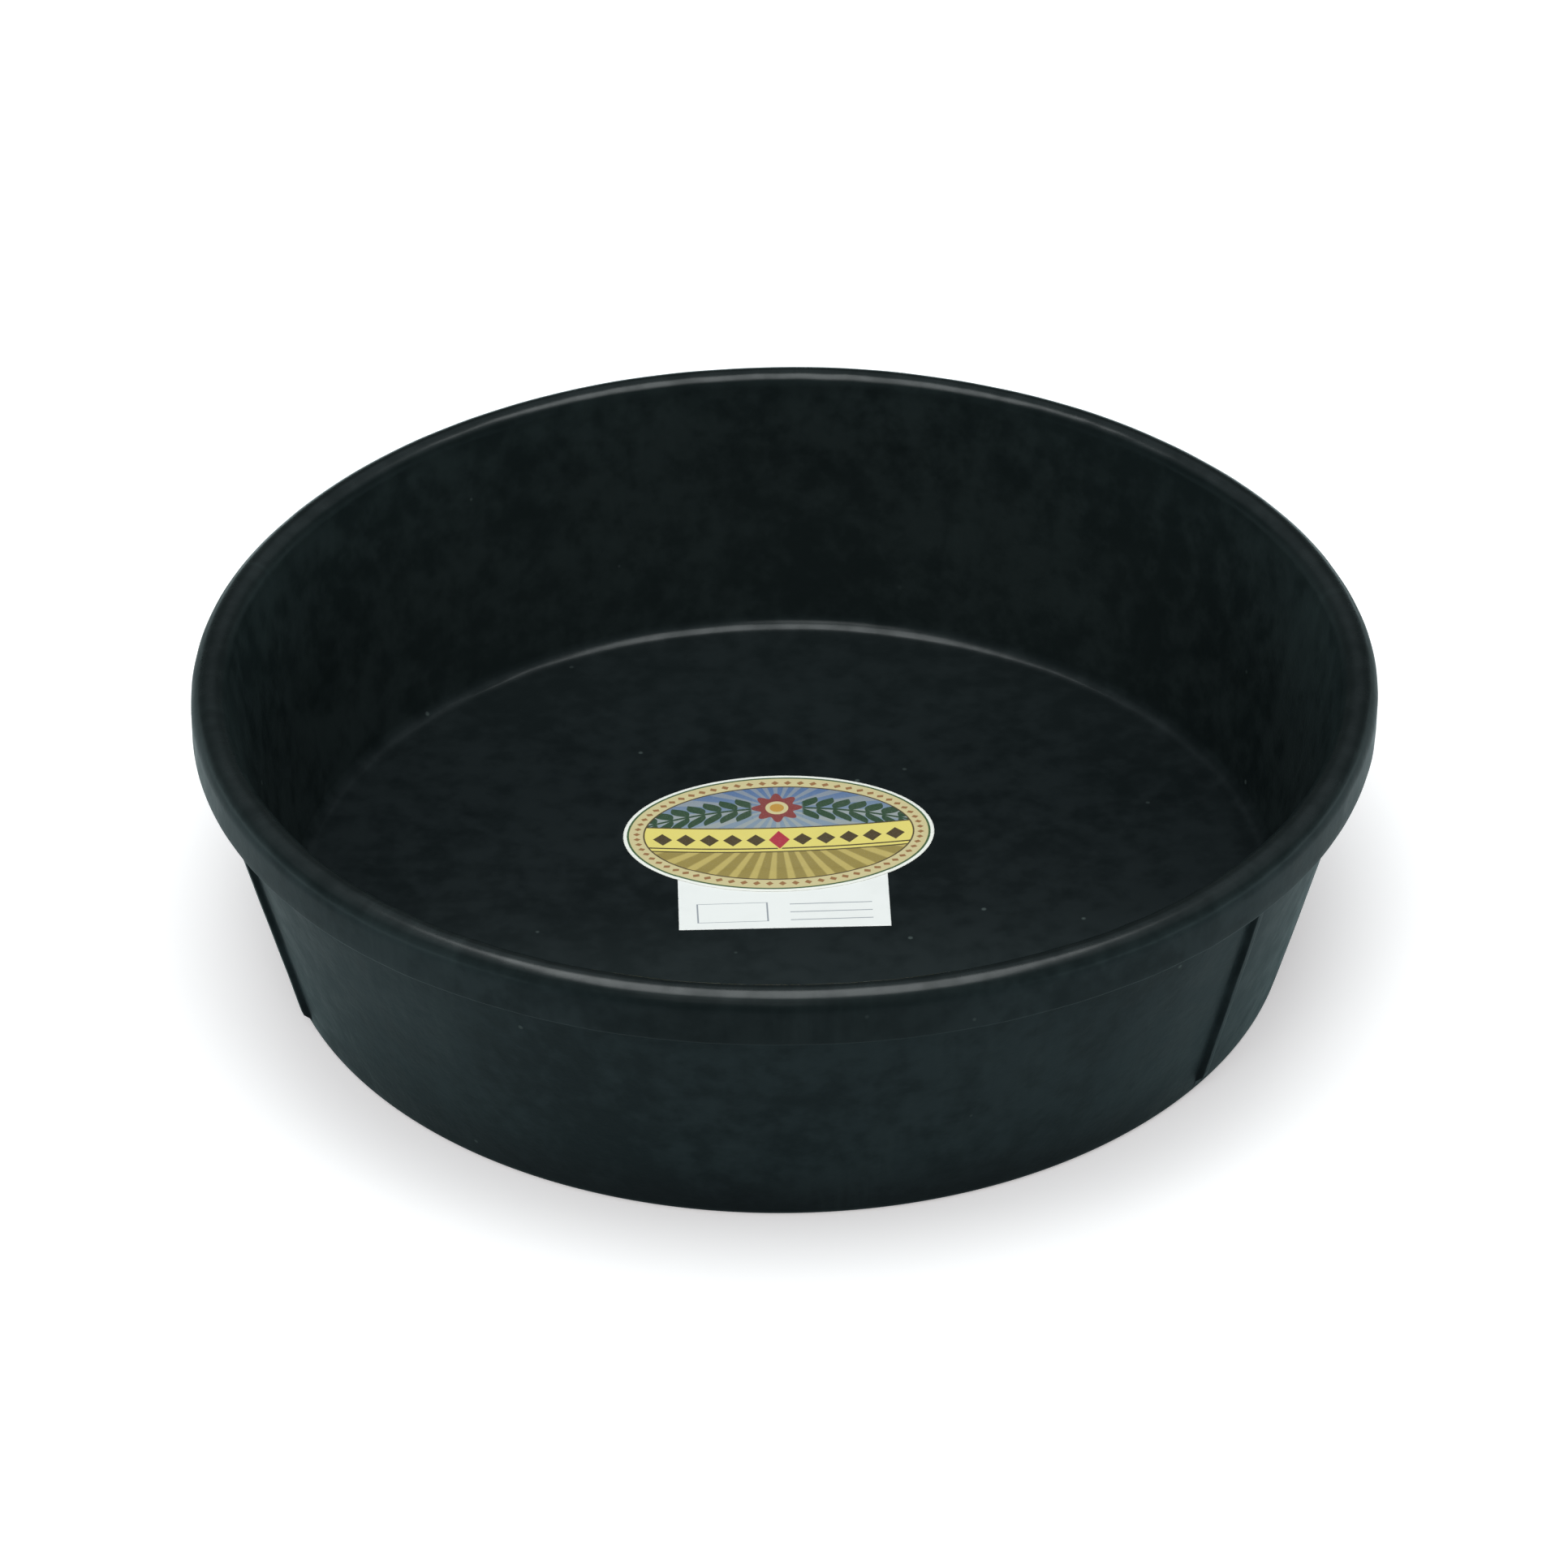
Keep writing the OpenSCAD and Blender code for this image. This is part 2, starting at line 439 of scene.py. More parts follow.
tub = {
    # Moulding
    "rimRadius": cadHigh.x,
    "height": cadHigh.z,
    "baseRadius": 182 * mm,
    "floorHeight": 10 * mm,
    "floorRadius": 179.65 * mm,
    "rimWidth": 12 * mm,
    "bandHeight": 17.5 * mm,
    "bandProud": 5.5 * mm,
    "taperHeight": 3 * mm,
    "bandEdgeRadius": 1 * mm,
    "shoulderRadius": 7 * mm,
    "lipRadius": 6 * mm,
    "filletRadius": 6 * mm,
    "baseEdgeRadius": 4 * mm,
    "ringWidth": 24 * mm,
    "recess": 2 * mm,
    "recessEdgeRadius": 1 * mm,
    # Ribs
    "ribCount": 3,
    "ribTurn": -37.5,
    "ribProud": 2.1 * mm,
    "ribCrest": 1.35 * mm,
    "ribRoot": 2.1 * mm,
    "ribFoot": 7 * mm,
    "ribFootSoft": 0.4 * mm,
    # Mesh: columns round the tub, close ones at each rib, and steps along the profile
    "columns": 400,
    "ribSteps": 7,
    "ribBeside": (0.8 * mm, 2.4 * mm),
    "ribClear": 4 * mm,
    "poleRadius": 4 * mm,
    "arcStep": 0.6 * mm,
    "fineStep": 2.2 * mm,
    "wallStep": 2.8 * mm,
    "floorStep": 3.2 * mm,
    "ringStep": 6 * mm,
    "recessStep": 9 * mm,
    # Rubber is never true: waves in the wall, the lip and the floor, and where they start and end
    "slowWave": {"length": 95 * mm, "depth": 0.22 * mm, "seed": 3},
    "dents": {"length": 21 * mm, "depth": 0.07 * mm, "seed": 5},
    "waveFrom": (0.5 * mm, 12 * mm),
    "lipWave": {"length": 13 * mm, "depth": 0.22 * mm, "seed": 8},
    "lipReach": 4 * mm,
    "floorWave": {"length": 34 * mm, "depth": 0.10 * mm, "seed": 11},
    "floorWaveFrom": (95 * mm, 130 * mm),
    "floorWaveEdge": 2 * mm,
    # The base's lean, and the front edge's rise and draw
    "lean": -0.75 * mm,
    "leanFrom": (120 * mm, 175 * mm),
    "frontRise": 2.2 * mm,
    "frontDraw": 1.2 * mm,
    "frontFocus": 5,
    # Painted shade: its reach out and in from the rim's crest, less at the front, and on the band's front
    "crestShadeOut": 3.1 * mm,
    "crestShadeOutLess": 0.9 * mm,
    "crestShadeIn": 4.5 * mm,
    "crestShadeInLess": 2.0 * mm,
    "crestShadeFacing": (0.5, 0.9),
    "bandFade": (-2 * mm, 0.5 * mm),
    "bandShade": 0.8,
    "bandShadeAside": 0.1,
    "bandShadeFront": (0.93, 1.0),
    "ribWear": 0.7,
    # Polished places: the rim's top with its glint, the foot of the fillet, the floor and the band
    "rimPolish": (1.1 * mm, 2.2 * mm),
    "glintTurn": -118.0,
    "glintWidth": 15.0,
    "glintMore": 0.42,
    "filletPolish": 0.85,
    "filletIn": 5 * mm,
    "filletSoft": 1.5 * mm,
    "filletTop": (1.6 * mm, 3.0 * mm),
    "filletAside": 0.3,
    "filletFacing": (0.75, 0.98),
    "floorPolish": 0.22,
    "nearPolish": 1.5,
    "farPolish": 1.7,
    "bandPolish": 0.10,
    # Floor, outside, and the foot's painted shade
    "flooredTop": (0.3 * mm, 6 * mm),
    "outsideFrom": (0.5 * mm, 7 * mm),
    "footShadeTop": 30 * mm,
    # Near and far parts of the floor, and the far wall, with their painted light
    "nearFloor": (0, 60 * mm),
    "farFloor": (60 * mm, 140 * mm),
    "farFloorLight": 0.5,
    "farWallLight": 0.8,
    "farWallLightFacing": (0.4, 0.85),
    "farWallLightTop": (45 * mm, 85 * mm),
}


def wallRadius(z):
    # The outer wall is a straight line from the base to the band's lower edge
    bandZ = tub["height"] - tub["bandHeight"]
    topRadius = tub["rimRadius"] - tub["bandProud"]
    return tub["baseRadius"] + (topRadius - tub["baseRadius"]) * z / bandZ


def tubProfile():
    # Half cross-section from the underside's middle, round the outside and the rim, to the floor's middle
    bandZ = tub["height"] - tub["bandHeight"]
    taperZ = bandZ - tub["taperHeight"]
    ringIn = tub["baseRadius"] - tub["ringWidth"]
    mouth = tub["rimRadius"] - tub["rimWidth"]
    return roundedPath([
        (tub["poleRadius"], tub["recess"], 0, 0),
        (ringIn - tub["recess"], tub["recess"], tub["recessEdgeRadius"], tub["recessStep"]),
        (ringIn, 0, tub["recessEdgeRadius"] / 2, tub["fineStep"]),
        (tub["baseRadius"], 0, tub["baseEdgeRadius"], tub["ringStep"]),
        (wallRadius(taperZ), taperZ, tub["taperHeight"] / 2, tub["wallStep"]),
        (tub["rimRadius"], bandZ, tub["bandEdgeRadius"], tub["fineStep"]),
        (tub["rimRadius"], tub["height"], tub["shoulderRadius"], tub["fineStep"]),
        (mouth, tub["height"], tub["lipRadius"], tub["fineStep"]),
        (tub["floorRadius"], tub["floorHeight"], tub["filletRadius"], tub["wallStep"]),
        (tub["poleRadius"], tub["floorHeight"], 0, tub["floorStep"]),
    ], tub["arcStep"])


def ribColumns():
    # Angles round the tub: even steps, and close ones across each rib, given as arc lengths from its middle
    crest, root = tub["ribCrest"], tub["ribRoot"]
    flank = np.linspace(crest, root, tub["ribSteps"])
    side = np.concatenate([[0.5 * crest], flank, root + np.array(tub["ribBeside"])])
    across = np.concatenate([-side[::-1], [0], side])
    middle = math.radians(tub["ribTurn"]) + np.arange(tub["ribCount"]) * 2 * np.pi / tub["ribCount"]
    even = np.arange(tub["columns"]) * 2 * np.pi / tub["columns"]
    away = np.abs(wrapped(even[:, None] - middle)).min(1)
    clear = even[away > (root + tub["ribClear"]) / tub["baseRadius"]]
    close = (middle[:, None] + across / tub["baseRadius"]).ravel() % (2 * np.pi)
    return np.sort(np.concatenate([clear, close])), middle


def tubShape(turn, ribMiddle):
    # The profile at every angle, its wall pushed out by a rounded step across each rib, up to the band
    profile = tubProfile()
    radius = np.repeat(profile[:, :1], len(turn), 1)
    z = np.repeat(profile[:, 1:], len(turn), 1)
    outer = np.arange(len(profile))[:, None] <= int(np.argmax(profile[:, 1]))
    away = np.abs(wrapped(turn[:, None] - ribMiddle)).min(1) * tub["baseRadius"]
    raised = smoothStep(-away, -tub["ribRoot"], -tub["ribCrest"])[None, :]
    foot = smoothStep(z, tub["ribFoot"] - tub["ribFootSoft"], tub["ribFoot"] + tub["ribFootSoft"])
    ribRadius = wallRadius(z) + tub["ribProud"] * raised * foot
    underBand = z < tub["height"] - tub["bandHeight"]
    onRib = outer & (z > 0.5 * tub["ribFoot"]) & underBand & (raised > 0)
    radius = np.where(onRib, np.maximum(radius, ribRadius), radius)
    return radius, z, outer, raised * onRib


def relaxedPoints(radius, z, turn, outer):
    # The shape's points, moved as soft rubber is: in and out by waves, up and down on the floor,
    # aside at the base, and up and inwards at the rim's front edge
    inner = ~outer
    points = np.stack([radius * np.cos(turn), radius * np.sin(turn), z], -1)
    free = np.clip(radius / tub["floorRadius"], 0, 1) ** 2
    radial = (ripples(points, **tub["slowWave"]) + ripples(points, **tub["dents"])) * free
    radial = radial * smoothStep(z, *tub["waveFrom"])
    mouth = tub["rimRadius"] - tub["rimWidth"]
    lip = np.exp(-((z - tub["height"]) / tub["lipReach"]) ** 2) * inner
    lip = lip * (1 - smoothStep(radius, mouth, mouth + tub["lipRadius"]))
    radial = radial + lip * ripples(points, **tub["lipWave"])
    onFloor = inner * (radius < tub["floorRadius"] - tub["floorWaveEdge"])
    lift = ripples(points, **tub["floorWave"]) * onFloor * smoothStep(radius, *tub["floorWaveFrom"])
    risen = z / tub["height"]
    shift = tub["lean"] * (1 - risen) * outer * smoothStep(radius, *tub["leanFrom"])
    front = np.maximum(0, -np.sin(turn)) ** tub["frontFocus"]
    drawn = tub["frontDraw"] * front * risen ** 2
    points[..., 0] += (radial - drawn) * np.cos(turn) + shift
    points[..., 1] += (radial - drawn) * np.sin(turn)
    points[..., 2] += lift + tub["frontRise"] * front * risen ** 3
    return points


def tubMasks(radius, z, turn, outer, onRib):
    # How much each finish, painted shade and painted light shows at each point: S-shaped steps of its height,
    # its radius and the way it faces
    inner = ~outer
    below = tub["height"] - z
    above = z - tub["floorHeight"]
    towardsFront = -np.sin(turn)
    # Painted shade darkens the rim's crest and the band's front; the ribs' crests go paler with wear
    facing = smoothStep(towardsFront, *tub["crestShadeFacing"])
    reachOut = tub["crestShadeOut"] - tub["crestShadeOutLess"] * facing
    reachIn = tub["crestShadeIn"] - tub["crestShadeInLess"] * facing
    crest = np.exp(-(below / np.where(outer, reachOut, reachIn)) ** 2)
    bandZ = tub["height"] - tub["bandHeight"]
    fadeFrom, fadeTo = tub["bandFade"]
    band = outer * smoothStep(z, bandZ + fadeFrom, bandZ + fadeTo)
    aside = tub["bandShadeAside"]
    frontShading = aside + (1 - aside) * smoothStep(towardsFront, *tub["bandShadeFront"])
    crest = np.maximum(crest, tub["bandShade"] * frontShading * band)
    # Floor, with its near and far parts and the far wall above it for painted light, the outside, and its
    # foot for painted shade
    floored = inner * (1 - smoothStep(above, *tub["flooredTop"]))
    depth = radius * np.sin(turn)
    near = smoothStep(-depth, *tub["nearFloor"])
    far = smoothStep(depth, *tub["farFloor"])
    farWall = inner * (1 - floored) * smoothStep(np.sin(turn), *tub["farWallLightFacing"])
    farWall = farWall * (1 - smoothStep(above, *tub["farWallLightTop"]))
    # Polished places: the rim's top, the foot of the fillet round the floor, the handled floor and the band
    fromGlint = wrapped(turn - math.radians(tub["glintTurn"])) / math.radians(tub["glintWidth"])
    rimTop = 1 - smoothStep(below, *tub["rimPolish"])
    rimTop = rimTop * (1 + tub["glintMore"] * np.exp(-fromGlint ** 2))
    filletIn = tub["floorRadius"] - tub["filletIn"]
    fillet = inner * smoothStep(radius, filletIn, filletIn + tub["filletSoft"])
    fillet = fillet * (1 - smoothStep(above, *tub["filletTop"]))
    facing = smoothStep(np.abs(np.sin(turn)), *tub["filletFacing"])
    fillet = fillet * (tub["filletAside"] + (1 - tub["filletAside"]) * facing)
    handled = 1 + tub["nearPolish"] * near + tub["farPolish"] * far
    polished = [
        rimTop,
        fillet * tub["filletPolish"],
        floored * tub["floorPolish"] * handled,
        band * tub["bandPolish"],
    ]
    return {
        "wear": onRib * tub["ribWear"],
        "polish": np.maximum.reduce(polished),
        "floored": floored,
        "outside": outer * smoothStep(below, *tub["outsideFrom"]),
        # The foot's mask carries painted shade
        "foot": outer * (1 - smoothStep(z, 0, tub["footShadeTop"])),
        # Painted shade on the rim's crest and the band's front
        "crest": crest,
        # Painted light on the near and far floor and the lower far wall
        "paintedLight": floored * (near + tub["farFloorLight"] * far) + tub["farWallLight"] * farWall,
    }


def makeTub(material):
    # The points closed into one skin, which carries the masks for its material
    turn, ribMiddle = ribColumns()
    radius, z, outer, onRib = tubShape(turn, ribMiddle)
    points = relaxedPoints(radius, z, turn, outer)
    bottom = (0, 0, tub["recess"])
    top = (0, 0, tub["floorHeight"])
    piece = closedRings("tub_shell", points, bottom, top, material)
    for name, values in tubMasks(radius, z, turn, outer, onRib).items():
        attribute = piece.data.attributes.new(name, "FLOAT", "POINT")
        poles = [values[0, 0], values[-1, 0]]
        attribute.data.foreach_set("value", np.append(values.ravel(), poles).astype(np.float32))
    return piece


tubPiece = makeTub(rubberMaterial())
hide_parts("rubber_tub")
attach(tubPiece, "root")
print("tub shell made:", len(tubPiece.data.polygons), "faces")


# Paper of both stickers: fibres, slight waves and soil, shared by the two print materials

paper = {
    # Patterns: cells in a metre, detail, roughness
    "fibre": (2600.0, 3.0, 0.6),
    "smear": (55.0, 4.0, 0.6),
    # Bare fibres in the ink, soil, gloss and relief
    "fibreColour": (0.80, 0.80, 0.77, 1),
    "fibreRange": (0.5, 0.75),
    "fibreShare": 0.10,
    "soilColour": (0.22, 0.21, 0.18, 1),
    "soilRange": (0.45, 0.8),
    "roughLeast": 0.34,
    "roughMore": 0.18,
    "smearHeight": 0.6,
    "fibreHeight": 0.4,
    "depth": 0.05 * mm,
    # Mesh: columns round a sheet, rings of its two faces as shares of its outline, height of its edge
    "columns": 240,
    "lowerRings": (0.25, 0.5, 0.75, 0.9, 0.97, 1.0),
    "upperRings": 40,
    "upperIn": (0.006, 0.96),
    "edgeUp": 0.75,
    # Glue between a sheet and what it lies on
    "glue": 0.02 * mm,
}


def paperGroup():
    # Print with bare fibres and soil laid over it, and the roughness and height that the same patterns give
    group = bpy.data.node_groups.new("paperStock", "ShaderNodeTree")
    sockets = (
        ("Print", "INPUT", "NodeSocketColor"),
        ("Position", "INPUT", "NodeSocketVector"),
        ("Soil", "INPUT", "NodeSocketFloat"),
        ("Colour", "OUTPUT", "NodeSocketColor"),
        ("Roughness", "OUTPUT", "NodeSocketFloat"),
        ("Height", "OUTPUT", "NodeSocketFloat"),
    )
    for name, way, kind in sockets:
        group.interface.new_socket(name, in_out=way, socket_type=kind)
    given = group.nodes.new("NodeGroupInput").outputs
    result = group.nodes.new("NodeGroupOutput").inputs
    fibre = noise(group, given["Position"], *paper["fibre"])
    smear = noise(group, given["Position"], *paper["smear"])
    bare = ramp(group, fibre, *paper["fibreRange"])
    inked = layOver(group, bare, paper["fibreShare"], given["Print"], paper["fibreColour"])
    soiled = ramp(group, smear, *paper["soilRange"])
    group.links.new(layOver(group, soiled, given["Soil"], inked, paper["soilColour"]), result["Colour"])
    rough = calc(group, "MULTIPLY_ADD", fibre, paper["roughMore"], paper["roughLeast"])
    group.links.new(rough, result["Roughness"])
    fibres = times(group, fibre, paper["fibreHeight"])
    group.links.new(calc(group, "MULTIPLY_ADD", smear, paper["smearHeight"], fibres), result["Height"])
    return group


paperStock = paperGroup()


def finishPaper(tree, shader, coords, colour, values):
    # The print on its paper, as soiled and as glossy as the sticker's values say
    stock = tree.nodes.new("ShaderNodeGroup")
    stock.node_tree = paperStock
    wire(tree, colour, stock.inputs["Print"])
    wire(tree, coords, stock.inputs["Position"])
    stock.inputs["Soil"].default_value = values["soilAndShade"]
    tree.links.new(stock.outputs["Colour"], shader.inputs["Base Color"])
    tree.links.new(stock.outputs["Roughness"], shader.inputs["Roughness"])
    tree.links.new(bump(tree, stock.outputs["Height"], paper["depth"]), shader.inputs["Normal"])
    shader.inputs["Specular IOR Level"].default_value = values["specular"]


# Large sticker: an oval with an ornament, its print measured in millimetres from its middle

sign = {
    "centre": (-2.5 * mm, 38 * mm),
    "tilt": 2.3,
    "width": 115 * mm,
    "height": 76 * mm,
    "thickness": 0.25 * mm,
    "drape": 1.4 * mm,
    "soilAndShade": 0.06,
    "specular": 0.5,
    # Inks
    "white": srgb(240, 236, 228),
    "cream": srgb(206, 190, 142),
    "yellow": srgb(227, 208, 112),
    "brown": srgb(74, 58, 30),
    "green": srgb(56, 86, 44),
    "leafGreen": srgb(42, 68, 44),
    "lowBlue": srgb(128, 142, 158),
    "highBlue": srgb(84, 108, 148),
    "straw": srgb(206, 194, 156),
    "deepGold": srgb(150, 130, 66),
    "paleGold": srgb(190, 168, 96),
    "petalRed": srgb(132, 58, 56),
    "amber": srgb(190, 140, 58),
    "beltRed": srgb(176, 44, 62),
    "beadBrown": srgb(150, 104, 62),
    # Ground with rays, and the gold stripes under it
    "groundRange": (8.0, 30.0),
    "rayCount": 22,
    "rayShare": (0.27, 0.73),
    "raySoft": 0.03,
    "rayTint": 0.25,
    "stripesMeet": 9.0,
    "stripesPerRadian": 5.5,
    "stripeShare": (0.3, 0.7),
    "stripeSoft": 0.06,
    "goldFrom": (-2.0, -3.0),
    # Branches
    "stemBow": 0.0042,
    "stemHalf": 0.7,
    "leafPitch": 6.0,
    "leafSlant": -0.8,
    "leafReach": 7.5,
    "leafFull": 0.46,
    "leafSoft": 0.025,
    "leafTip": 0.2,
    "branchFrom": (9.0, 10.0),
    # Rosette
    "rosetteY": 16.5,
    "petalCount": 8.0,
    "petalSwing": 1.5,
    "petalRadius": 8.0,
    "petalSoft": 0.16,
    "discRadius": 4.4,
    "heartRadius": 2.8,
    # Belt with its row of lozenges, its red one and its underline
    "beltY": -4.5,
    "beltBow": -0.0012,
    "beltHalf": 8.2,
    "beltYellowHalf": 7.5,
    "lozengePitch": 8.6,
    "lozengeSlim": 1.05,
    "lozengeHalf": 3.9,
    "lozengesEnd": 47.5,
    "lozengesFade": 0.5,
    "underline": (-6.0, -5.2),
    "underlineSoft": 0.1,
    "redSlim": 1.5,
    "redEdge": 6.9,
    "redHalf": 6.0,
    # Frame: how far in each line reaches from the edge
    "frameIn": 8.1,
    "creamIn": 7.5,
    "greenIn": 2.3,
    "whiteIn": 1.5,
    "beadCount": 66,
    "beadIn": 5.0,
    "beadSlim": 4.4,
    "beadHalf": 1.5,
}


def stickerFrame(tree, coords):
    # Millimetres from the large sticker's middle, along and across its own turned frame
    node = tree.nodes.new("ShaderNodeMapping")
    node.vector_type = "TEXTURE"
    tree.links.new(coords, node.inputs["Vector"])
    node.inputs["Location"].default_value = (*sign["centre"], 0)
    node.inputs["Rotation"].default_value = (0, 0, math.radians(sign["tilt"]))
    node.inputs["Scale"].default_value = (mm, mm, mm)
    parts = tree.nodes.new("ShaderNodeSeparateXYZ")
    tree.links.new(node.outputs["Vector"], parts.inputs[0])
    return parts.outputs["X"], parts.outputs["Y"]


def signGround(tree, x, y, around):
    # Rays at even angles round the rosette's middle on a ground that deepens upwards,
    # and gold stripes at even angles round a point above them
    rays = calc(tree, "FRACT", times(tree, around, sign["rayCount"] / (2 * math.pi)))
    ray = between(tree, rays, *sign["rayShare"], sign["raySoft"])
    ground = blendColour(tree, ramp(tree, y, *sign["groundRange"]), sign["lowBlue"], sign["highBlue"])
    ground = layOver(tree, ray, sign["rayTint"], ground, sign["straw"])
    spread = calc(tree, "ARCTAN2", x, calc(tree, "SUBTRACT", sign["stripesMeet"], y))
    stripes = calc(tree, "FRACT", times(tree, spread, sign["stripesPerRadian"]))
    stripe = between(tree, stripes, *sign["stripeShare"], sign["stripeSoft"])
    gold = blendColour(tree, stripe, sign["deepGold"], sign["paleGold"])
    return blendColour(tree, ramp(tree, y, *sign["goldFrom"]), ground, gold)


def signBranches(tree, x, up, picture):
    # A branch on each side: slanted cells along a stem bowed by the square of x,
    # each holding a leaf as wide as half a sine wave
    bowed = calc(tree, "MULTIPLY_ADD", times(tree, x, x), sign["stemBow"], up)
    offStem = calc(tree, "ABSOLUTE", bowed)
    sideways = calc(tree, "ABSOLUTE", x)
    slanted = calc(tree, "MULTIPLY_ADD", offStem, sign["leafSlant"], sideways)
    fromLeaf = offMiddle(tree, calc(tree, "DIVIDE", slanted, sign["leafPitch"]))
    swell = calc(tree, "SINE", times(tree, offStem, math.pi / sign["leafReach"]))
    outOfLeaf = calc(tree, "SUBTRACT", fromLeaf, times(tree, swell, sign["leafFull"]))
    leaf = ramp(tree, outOfLeaf, sign["leafSoft"], -sign["leafSoft"])
    leaf = times(tree, leaf, within(tree, offStem, sign["leafReach"], sign["leafTip"]))
    leaf = calc(tree, "MAXIMUM", leaf, within(tree, offStem, sign["stemHalf"]))
    leaf = times(tree, leaf, ramp(tree, sideways, *sign["branchFrom"]))
    return blendColour(tree, leaf, picture, sign["leafGreen"])


def signRosette(tree, x, up, around, picture):
    # A circle whose edge swings out into petals by a cosine of the angle, with two discs in its middle
    away = hypotenuse(tree, x, up)
    swing = calc(tree, "COSINE", times(tree, around, sign["petalCount"]))
    petals = calc(tree, "MULTIPLY_ADD", swing, sign["petalSwing"], sign["petalRadius"])
    outOfPetals = calc(tree, "SUBTRACT", away, petals)
    flower = ramp(tree, outOfPetals, sign["petalSoft"], -sign["petalSoft"])
    picture = blendColour(tree, flower, picture, sign["petalRed"])
    picture = blendColour(tree, within(tree, away, sign["discRadius"]), picture, sign["cream"])
    return blendColour(tree, within(tree, away, sign["heartRadius"]), picture, sign["amber"])


def signBelt(tree, x, y, picture):
    # A belt bowed by the square of x, with lozenges where the distances along and across it sum to little
    aboveBelt = calc(tree, "SUBTRACT", y, sign["beltY"])
    belt = calc(tree, "MULTIPLY_ADD", times(tree, x, x), sign["beltBow"], aboveBelt)
    across = calc(tree, "ABSOLUTE", belt)
    sideways = calc(tree, "ABSOLUTE", x)
    picture = blendColour(tree, within(tree, across, sign["beltHalf"]), picture, sign["brown"])
    picture = blendColour(tree, within(tree, across, sign["beltYellowHalf"]), picture, sign["yellow"])
    along = offMiddle(tree, calc(tree, "MULTIPLY_ADD", x, 1 / sign["lozengePitch"], 0.5))
    along = times(tree, along, sign["lozengePitch"] * sign["lozengeSlim"])
    lozenge = within(tree, calc(tree, "ADD", along, across), sign["lozengeHalf"])
    row = within(tree, sideways, sign["lozengesEnd"], sign["lozengesFade"])
    picture = blendColour(tree, times(tree, lozenge, row), picture, sign["brown"])
    underline = between(tree, belt, *sign["underline"], sign["underlineSoft"])
    picture = blendColour(tree, underline, picture, sign["brown"])
    middle = calc(tree, "ADD", times(tree, sideways, sign["redSlim"]), across)
    picture = blendColour(tree, within(tree, middle, sign["redEdge"]), picture, sign["yellow"])
    return blendColour(tree, within(tree, middle, sign["redHalf"]), picture, sign["beltRed"])


def signFrame(tree, x, y, picture):
    # A cream ring with beads at even angles between two thin lines, and the paper's white margin,
    # by the distance in from the oval's edge: what is left of its reach, over the reach's slope
    halfWide, halfHigh = sign["width"] / 2 / mm, sign["height"] / 2 / mm
    u, v = calc(tree, "DIVIDE", x, halfWide), calc(tree, "DIVIDE", y, halfHigh)
    reach = hypotenuse(tree, u, v)
    slope = hypotenuse(tree, calc(tree, "DIVIDE", u, halfWide), calc(tree, "DIVIDE", v, halfHigh))
    inward = calc(tree, "DIVIDE", times(tree, calc(tree, "SUBTRACT", 1.0, reach), reach), slope)
    picture = blendColour(tree, within(tree, inward, sign["frameIn"]), picture, sign["brown"])
    picture = blendColour(tree, within(tree, inward, sign["creamIn"]), picture, sign["cream"])
    beads = times(tree, calc(tree, "ARCTAN2", v, u), sign["beadCount"] / (2 * math.pi))
    along = times(tree, offMiddle(tree, beads), sign["beadSlim"])
    across = calc(tree, "ABSOLUTE", calc(tree, "SUBTRACT", inward, sign["beadIn"]))
    bead = within(tree, calc(tree, "ADD", along, across), sign["beadHalf"])
    picture = blendColour(tree, bead, picture, sign["beadBrown"])
    picture = blendColour(tree, within(tree, inward, sign["greenIn"]), picture, sign["green"])
    return blendColour(tree, within(tree, inward, sign["whiteIn"]), picture, sign["white"])


def signMaterial():
    # The ornament's parts printed one over another, from the ground up to the frame
    material, tree, shader, coords = newMaterial("printedSign")
    x, y = stickerFrame(tree, coords)
    up = calc(tree, "SUBTRACT", y, sign["rosetteY"])
    around = calc(tree, "ARCTAN2", up, x)
    picture = signGround(tree, x, y, around)
    picture = signBranches(tree, x, up, picture)
    picture = signRosette(tree, x, up, around, picture)
    picture = signBelt(tree, x, y, picture)
    finishPaper(tree, shader, coords, signFrame(tree, x, y, picture), sign)
    return material


# Tag: a plain white sticker under the large one's lower edge, its print measured in millimetres

tag = {
    "turn": -0.9,
    "width": 77 * mm,
    "drop": 23 * mm,
    "tuck": 14 * mm,
    "thickness": 0.15 * mm,
    "soilAndShade": 0.05,
    "specular": 0.4,
    "white": srgb(238, 235, 232),
    "grey": srgb(150, 152, 158),
    "lineSoft": 0.1,
    # Write-in rules, from the tag's lower edge upwards
    "rulePitch": 5.0,
    "ruleHalf": 0.06,
    "ruleSoft": 0.03,
    "rulesUp": (3.0, 17.0),
    "rulesAlong": (2.0, 32.0),
    # Empty box
    "boxX": -19.0,
    "boxUp": 10.5,
    "boxHalfWide": 13.0,
    "boxHalfHigh": 6.0,
    "boxLine": 0.6,
}


def tagEdges():
    # The tag's lower and upper edge, measured from the large sticker's middle
    signEdge = -sign["height"] / 2
    return signEdge - tag["drop"], signEdge + tag["tuck"]


